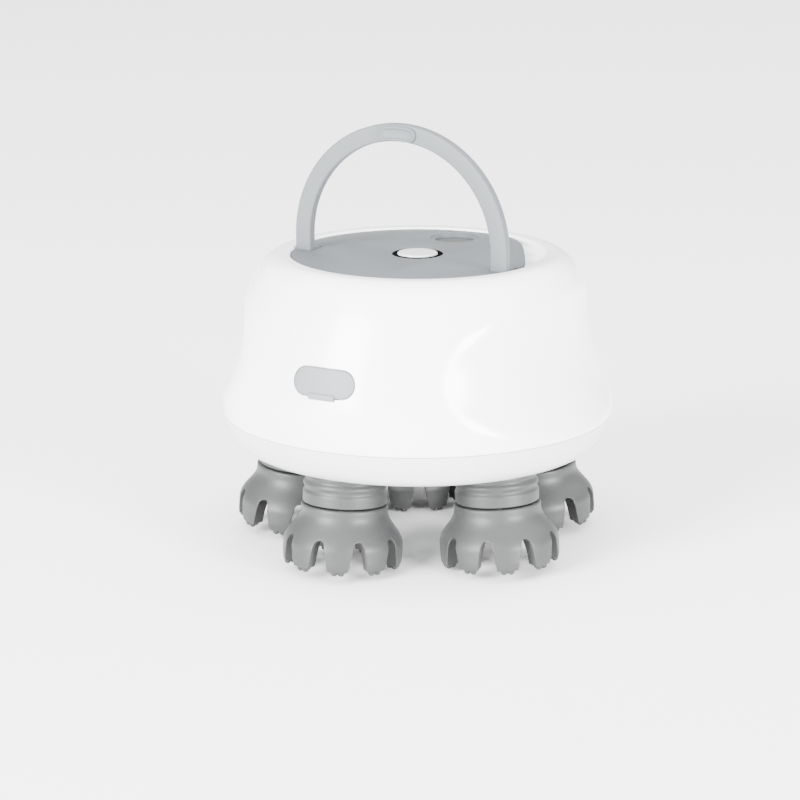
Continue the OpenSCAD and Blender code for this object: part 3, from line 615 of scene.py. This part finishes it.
def rounded_section(w, t, r, n=5):
    """Rounded rectangle: w across, t thick."""
    pts = []
    for cx, cy, a0 in ((w / 2 - r, t / 2 - r, 0), (-w / 2 + r, t / 2 - r, 90),
                       (-w / 2 + r, -t / 2 + r, 180), (w / 2 - r, -t / 2 + r, 270)):
        pts += arc(cx, cy, r, a0, a0 + 90, n)
    return pts


def build_band():
    """The arch: a rounded strip swept up one leg, over and down the other."""
    mid = (ARCH_R + ARCH_IN) / 2
    w = ARCH_R - ARCH_IN
    base = HINGE[2] - 0.6
    path = [(mid, base, 0)] + [(mid, base + (ARCH_Z - base) * i / 4, 0) for i in range(1, 4)]
    path += [(mid * math.cos(t), ARCH_Z + mid * math.sin(t), t) for t in
             [math.pi * i / 96 for i in range(97)]]
    path += [(-mid, ARCH_Z + (base - ARCH_Z) * i / 4, math.pi) for i in range(1, 5)]
    section = rounded_section(w, BAND_T, 0.55)
    n = len(section)
    verts, faces = [], []
    for x, z, t in path:
        for across, thick in section:
            verts.append((x + across * math.cos(t), -BAND_Y + thick, z + across * math.sin(t)))
    for j in range(len(path) - 1):
        for i in range(n):
            k = (i + 1) % n
            faces.append([j * n + i, j * n + k, (j + 1) * n + k, (j + 1) * n + i])
    faces.append(list(range(n)))
    faces.append(list(range((len(path) - 1) * n, len(path) * n))[::-1])
    return mesh_object("carry_handle", verts, faces)


def strip_outline(r, w, length, n=24):
    """Strip with round ends bent along the arch, as points in x and z."""
    half = (length - w) / 2 / r
    pts = [((r + w / 2) * math.sin(a), (r + w / 2) * math.cos(a)) for a in
           [-half + 2 * half * i / n for i in range(n + 1)]]
    for side in (1, -1):
        cx, cz = r * math.sin(side * half), r * math.cos(half)
        start = math.pi / 2 - half if side > 0 else -math.pi / 2 + half
        for i in range(1, 12):
            b = start - math.pi * i / 12
            pts.append((cx + w / 2 * math.cos(b), cz + w / 2 * math.sin(b)))
        if side > 0:
            pts += [((r - w / 2) * math.sin(a), (r - w / 2) * math.cos(a)) for a in
                    [half - 2 * half * i / n for i in range(n + 1)]]
    return pts


def build_tab():
    """Finger tab: a rounded border round a sunk, slightly dished field."""
    r = ARCH_R - (ARCH_R - ARCH_IN) / 2 - 0.15
    w, length = ARCH_R - ARCH_IN - 0.9, TAB_LEN
    face = -BAND_Y - BAND_T / 2
    # Inset of the outline, and depth from the face of the band.
    steps = [(0, 0.4), (0, -0.65), (0.1, -0.88), (0.3, -1.0),
             (0.55, -0.97), (0.75, -0.85), (0.9, -0.6), (1.15, -0.5)]
    verts, faces = [], []
    n = None
    for inset, y in steps:
        outline = strip_outline(r, w - 2 * inset, length - 2 * inset)
        n = len(outline)
        verts += [(x, face + y, ARCH_Z + z) for x, z in outline]
    for j in range(len(steps) - 1):
        for i in range(n):
            k = (i + 1) % n
            faces.append([j * n + i, j * n + k, (j + 1) * n + k, (j + 1) * n + i])
    faces.append(list(range(n)))
    faces.append(list(range((len(steps) - 1) * n, len(steps) * n))[::-1])
    return mesh_object("tab", verts, faces)


feet = []
for s in (-1, 1):
    x0, x1 = sorted((s * ARCH_IN, s * ARCH_R))
    foot = prism("foot", rectangle(x0, x1, -BAND_Y - BAND_T / 2, HINGE[1]), HINGE[2] - 1.0, COVER_Z - 0.1)
    eye = prism("eye", disc(EYE_R, 48), x0, x1)
    place(eye, Matrix.Translation((0, HINGE[1], HINGE[2])) @ LYING)
    cut(foot, eye, mode="UNION")
    bore = prism("bore", disc(PIN_R, 48), x0 - 1, x1 + 1)
    place(bore, Matrix.Translation((0, HINGE[1], HINGE[2])) @ LYING)
    cut(foot, bore)
    feet.append(foot)
handle = build_band()
cut(handle, feet[0], feet[1], mode="UNION")
cut(handle, build_tab(), mode="UNION")
finish_piece(handle, HANDLE, "handle", "handle", smooth=40)

# ---- Port cover -----------------------------------------------------------------------
plate = port_plate("port_flap", PORT_W, PORT_H, [(0.35, -0.15), (0.12, -0.08), (0, 0.1), (0, 1.2)])
nose = port_plate("nose", 9.6, 4.0, [(0, 1.0), (0, 2.4), (0.25, 2.85)])
pull = port_block("pull", 4.2, -0.7, 0.6, -PORT_H / 2 - 0.8, -PORT_H / 2 + 0.8)
bevel(pull, 0.3, 3)
cut(plate, nose, mode="UNION")
cut(plate, pull, mode="UNION")
finish_piece(plate, PORT, "port_cover", "port_cover", smooth=40)


# ---- Claws and neck boots ---------------------------------------------------------------
def head_matrix(k):
    """Head frame: z up the leaning axis, x outward, origin at the neck joint."""
    j = JOINTS["head_%d_spin" % (k + 1)]
    a = math.radians(HEAD_TURN + 72 * k - 90)
    origin = Vector(j["pos_m"]) / MM
    return Matrix.Translation(origin) @ turn_z(a) @ Matrix.Rotation(-HEAD_LEAN, 4, "Y")


def claw_out(d):
    """Radius of the claw at a depth: collar, bell-shaped flare and fingers."""
    neck = NECK_R + 0.45
    flare = math.sin(min(max(d - 2.2, 0) / 9.8, 1) * math.pi / 2) ** 2
    return neck + (CLAW_R - neck) * flare - max(d - CLAW_LEN + 2, 0) * 0.12


def claw_hollow(d):
    """Inner radius of the claw at a depth."""
    return CLAW_R - 0.25 - FINGER_T - 3.4 * (1 - min((d - CLAW_TOP) / 9, 1)) ** 2


def build_claw():
    """One claw in its own frame, rounded by a fine remesh as moulded silicone is."""
    steps = 40
    profile = [(0, -0.25), (NECK_R - 0.2, -0.25), (NECK_R + 0.25, -0.4)]
    profile += [(claw_out(d), -d) for d in [0.7 + (CLAW_LEN - 0.7) * i / steps for i in range(steps + 1)]]
    profile += [(claw_hollow(d), -d) for d in [CLAW_LEN - (CLAW_LEN - CLAW_TOP) * i / 20 for i in range(21)]]
    profile += [(0, -CLAW_TOP)]
    claw = revolve("claw", profile, 180, closed=False)
    cutters = []
    gap = 2 * (CLAW_R - 1) * math.sin(math.pi / FINGERS) - FINGER_W
    r = gap * 0.26
    arch = -SLOT_TOP - r
    for f in range(FINGERS):
        outline = [(-gap / 2, -CLAW_LEN - 1), (-r, arch)]
        outline += [(-r * math.cos(t), arch + r * math.sin(t)) for t in
                    [math.pi * i / 16 for i in range(1, 16)]]
        outline += [(r, arch), (gap / 2, -CLAW_LEN - 1)]
        c = prism("slot", outline, SLOT_START, 24)
        place(c, turn_z(2 * math.pi * (f + 0.5) / FINGERS) @ OUTWARD)
        cutters.append(c)
    cut(claw, *cutters)
    nubs = []
    ring_r = CLAW_R - 1.5
    for f in range(FINGERS):
        a = 2 * math.pi * f / FINGERS
        spots = ((ring_r, -NUB_R - 0.02), (ring_r, NUB_R + 0.02), (ring_r - 0.84 * 2 * NUB_R, 0))
        for rr, side in spots:
            nub = revolve("nub", [(0, 1.0), (NUB_R, 1.0), (NUB_R, -NUB_H + NUB_R)]
                          + [(NUB_R * math.cos(t), -NUB_H + NUB_R - NUB_R * math.sin(t))
                             for t in [math.pi / 2 * i / 8 for i in range(1, 8)]] + [(0, -NUB_H)],
                          24, closed=False)
            place(nub, turn_z(a) @ Matrix.Translation((rr, side, -CLAW_LEN)))
            nubs.append(nub)
    claw = join([claw] + nubs)
    m = claw.modifiers.new("remesh", "REMESH")
    m.mode = "VOXEL"
    m.voxel_size = VOXEL * MM
    s = claw.modifiers.new("smooth", "SMOOTH")
    s.factor = 0.5
    s.iterations = 1
    apply_modifiers(claw)
    return claw


claw_mesh = build_claw()
for k in range(HEADS):
    ob = claw_mesh.copy()
    ob.data = claw_mesh.data.copy()
    ob.name = "claw_silicone_%d" % (k + 1)
    bpy.context.scene.collection.objects.link(ob)
    place(ob, head_matrix(k) @ turn_z(math.radians(CLAW_TURNS[k])))
    finish_piece(ob, RUBBER, "head_%d" % (k + 1), "claw_%d" % (k + 1), smooth=75)
bpy.data.objects.remove(claw_mesh)


def neck_out(z):
    """Radius of the ribbed boot at a height, drawn in a little towards its top."""
    if z < WAVE_START:
        return NECK_R
    wave = 1 - math.cos((z - WAVE_START) * 2 * math.pi / WAVE_LEN)
    return NECK_R - WAVE_DEPTH * wave / 2 - max(z - 6.6, 0) * 0.28


boot_in = NECK_R - BOOT_WALL
profile = [(boot_in, 0.25), (NECK_R - 0.3, 0.25), (NECK_R - 0.08, 0.33)]
profile += [(neck_out(z), z) for z in [0.55 + (BOOT_TOP - 0.55) * i / 96 for i in range(97)]]
profile += [(3.7, BOOT_TOP + 0.3), (3.7, BOOT_TOP - 3.6), (boot_in - 1.5, BOOT_TOP - 4.6)]
for k in range(HEADS):
    boot = revolve("neck_bellows_%d" % (k + 1), profile, 120)
    place(boot, head_matrix(k))
    lid = prism("lid", disc(60, 64), KEEL_Z, KEEL_Z + 12)
    cut(boot, lid)
    finish_piece(boot, RUBBER, "housing", "neck_boot_%d" % (k + 1), smooth=40)

# ---- Floor, light and camera --------------------------------------------------------------
FLOOR_R = 6000
FLOOR_T = 20
FLOOR_WHITE = 0.93
WORLD_LIGHT = 0.7
floor = prism("floor", disc(FLOOR_R, 64), -FLOOR_T, 0)
floor_mat = bpy.data.materials.new("studio_floor")
floor_mat.use_nodes = True
floor_shader = floor_mat.node_tree.nodes["Principled BSDF"]
floor_shader.inputs["Base Color"].default_value = (FLOOR_WHITE, FLOOR_WHITE, FLOOR_WHITE, 1)
floor_shader.inputs["Roughness"].default_value = 0.9
floor.data.materials.append(floor_mat)

world = bpy.data.worlds.new("studio")
bpy.context.scene.world = world
world.use_nodes = True
world.node_tree.nodes["Background"].inputs["Color"].default_value = (1, 1, 1, 1)
world.node_tree.nodes["Background"].inputs["Strength"].default_value = WORLD_LIGHT


def area_light(name, at, aim, size, power):
    """Soft rectangular light, in metres and watts."""
    data = bpy.data.lights.new(name, "AREA")
    data.shape = "RECTANGLE"
    data.size, data.size_y = size
    data.energy = power
    ob = bpy.data.objects.new(name, data)
    ob.location = at
    ob.rotation_euler = (Vector(aim) - Vector(at)).to_track_quat("-Z", "Y").to_euler()
    bpy.context.scene.collection.objects.link(ob)


AIM = (0, 0, 0.06)
area_light("key", (-0.35, -1.3, 0.45), AIM, (0.6, 1.0), 105)
area_light("fill", (1.25, -0.4, 0.28), AIM, (0.4, 0.5), 62)
area_light("ceiling", (0, 1.2, 2.6), (0, 1.2, 0), (6, 7), 560)

camera = bpy.data.cameras.new("camera")
camera.lens = 125.0
camera.sensor_width = 36.0
eye = bpy.data.objects.new("camera", camera)
eye.matrix_world = (Matrix.Translation((0.41063, -0.72221, SEAM_Z * MM + 0.21819)) @ turn_z(math.radians(30))
                    @ Matrix.Rotation(math.radians(75.397), 4, "X") @ turn_z(math.radians(-0.175)))
bpy.context.scene.collection.objects.link(eye)
bpy.context.scene.camera = eye
